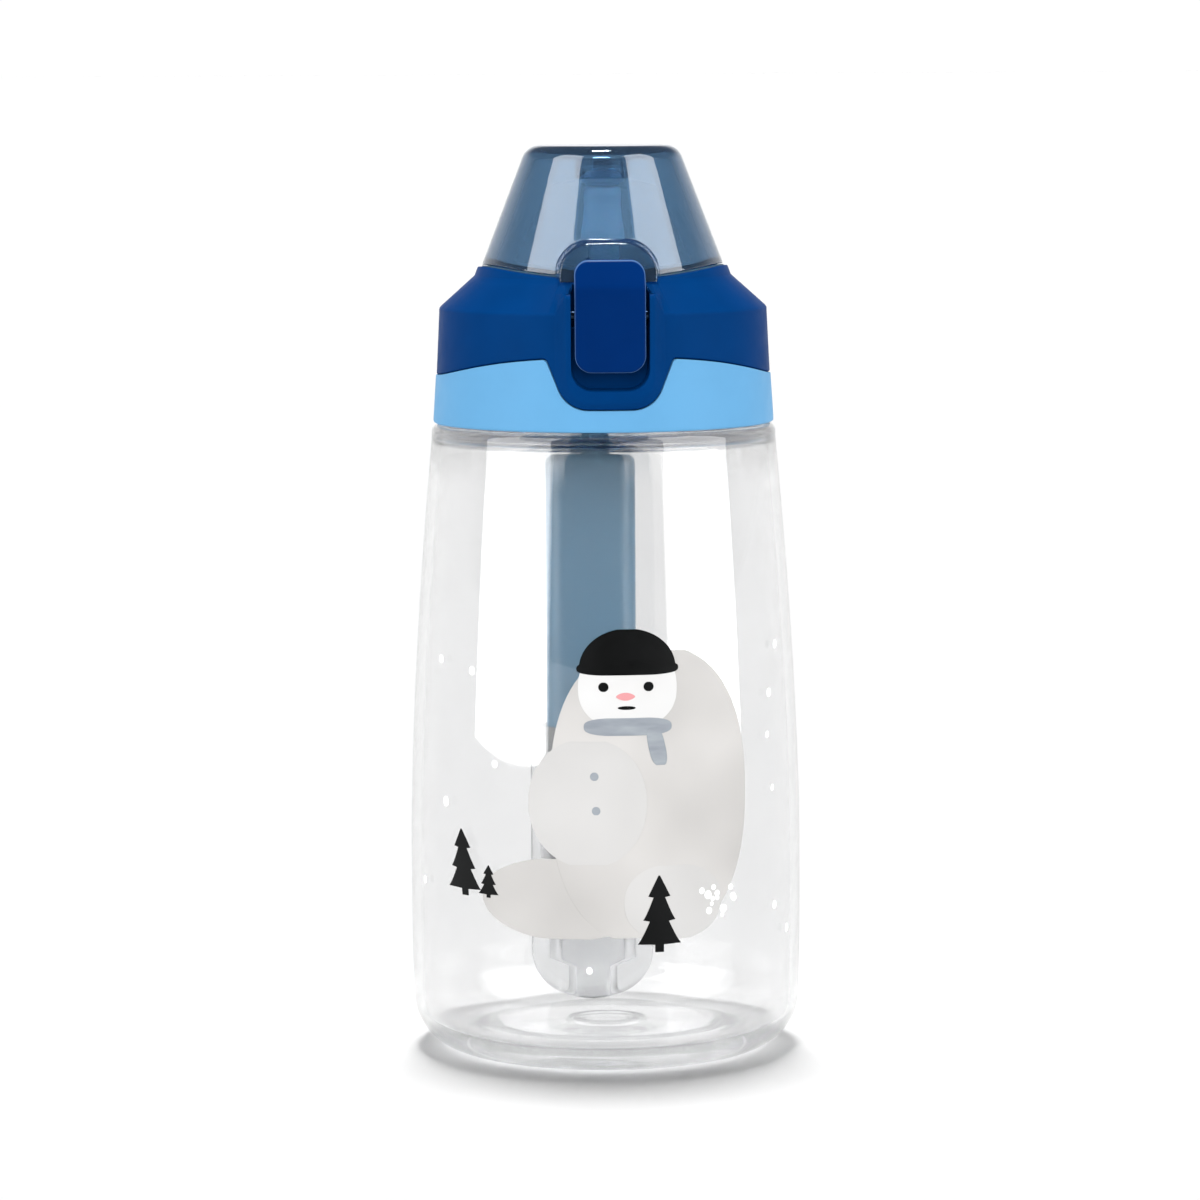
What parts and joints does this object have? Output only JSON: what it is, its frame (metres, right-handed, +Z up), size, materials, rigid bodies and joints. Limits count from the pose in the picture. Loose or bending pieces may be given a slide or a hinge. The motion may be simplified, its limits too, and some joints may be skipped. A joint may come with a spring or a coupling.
{
  "type": "flip-top straw drinking bottle",
  "caption": "Clear tapered drinking bottle with a screw lid, a hinged tinted dome over an upright mouthpiece, a rocker button and a wide flat straw.",
  "frame": {"origin": "centre of the ring the bottle stands on", "axes": "+Z up along the bottle's axis, the button on the -Y side, +X to the right when the button faces the viewer"},
  "size_m": [0.075, 0.075, 0.1729],
  "materials": {
    "clear_plastic": "clear, polished",
    "silicone": "soft, milky",
    "cover_plastic": "satin gloss",
    "band_plastic": "satin",
    "straw_plastic": "translucent blue-grey",
    "foot_plastic": "clear, slightly frosted",
    "seal_rubber": "matt",
    "dome_plastic": "blue tinted, clear, polished",
    "pin_steel": "bright",
    "button_plastic": "gloss"
  },
  "bodies": {
    "bottle": {"bottle_body": "clear_plastic"},
    "seal": {"lid_gasket": "silicone"},
    "lid": {"inner_cap": "cover_plastic", "lid_cover": "cover_plastic", "collar_band": "band_plastic", "mouthpiece": "silicone", "mouthpiece_collar": "cover_plastic", "vent_valve": "silicone", "straw_adapter": "silicone", "straw_tube": "straw_plastic", "straw_foot": "foot_plastic", "deck_seal": "seal_rubber", "hinge_pin": "pin_steel", "hinge_spring": "pin_steel", "button_pin": "pin_steel", "button_spring": "pin_steel"},
    "dome": {"flip_cap": "dome_plastic", "cap_plug": "silicone"},
    "latch": {"button": "button_plastic"}
  },
  "joints": [
    {"name": "lid_lift", "type": "slide", "parent": "bottle", "child": "seal", "axis": [0, 0, 1], "range_m": [0, 0.15]},
    {"name": "lid_turn", "type": "hinge", "parent": "seal", "child": "lid", "pos_m": [0, 0, 0.13], "axis": [0, 0, 1], "range_deg": [0, 120]},
    {"name": "cap_flip", "type": "hinge", "parent": "lid", "child": "dome", "pos_m": [0, 0.0283, 0.1474], "axis": [-1, 0, 0], "range_deg": [0, 120]},
    {"name": "button_press", "type": "hinge", "parent": "lid", "child": "latch", "pos_m": [0, -0.029, 0.142], "axis": [1, 0, 0], "range_deg": [0, 6], "stiffness_Nm_per_rad": 0.06}
  ]
}
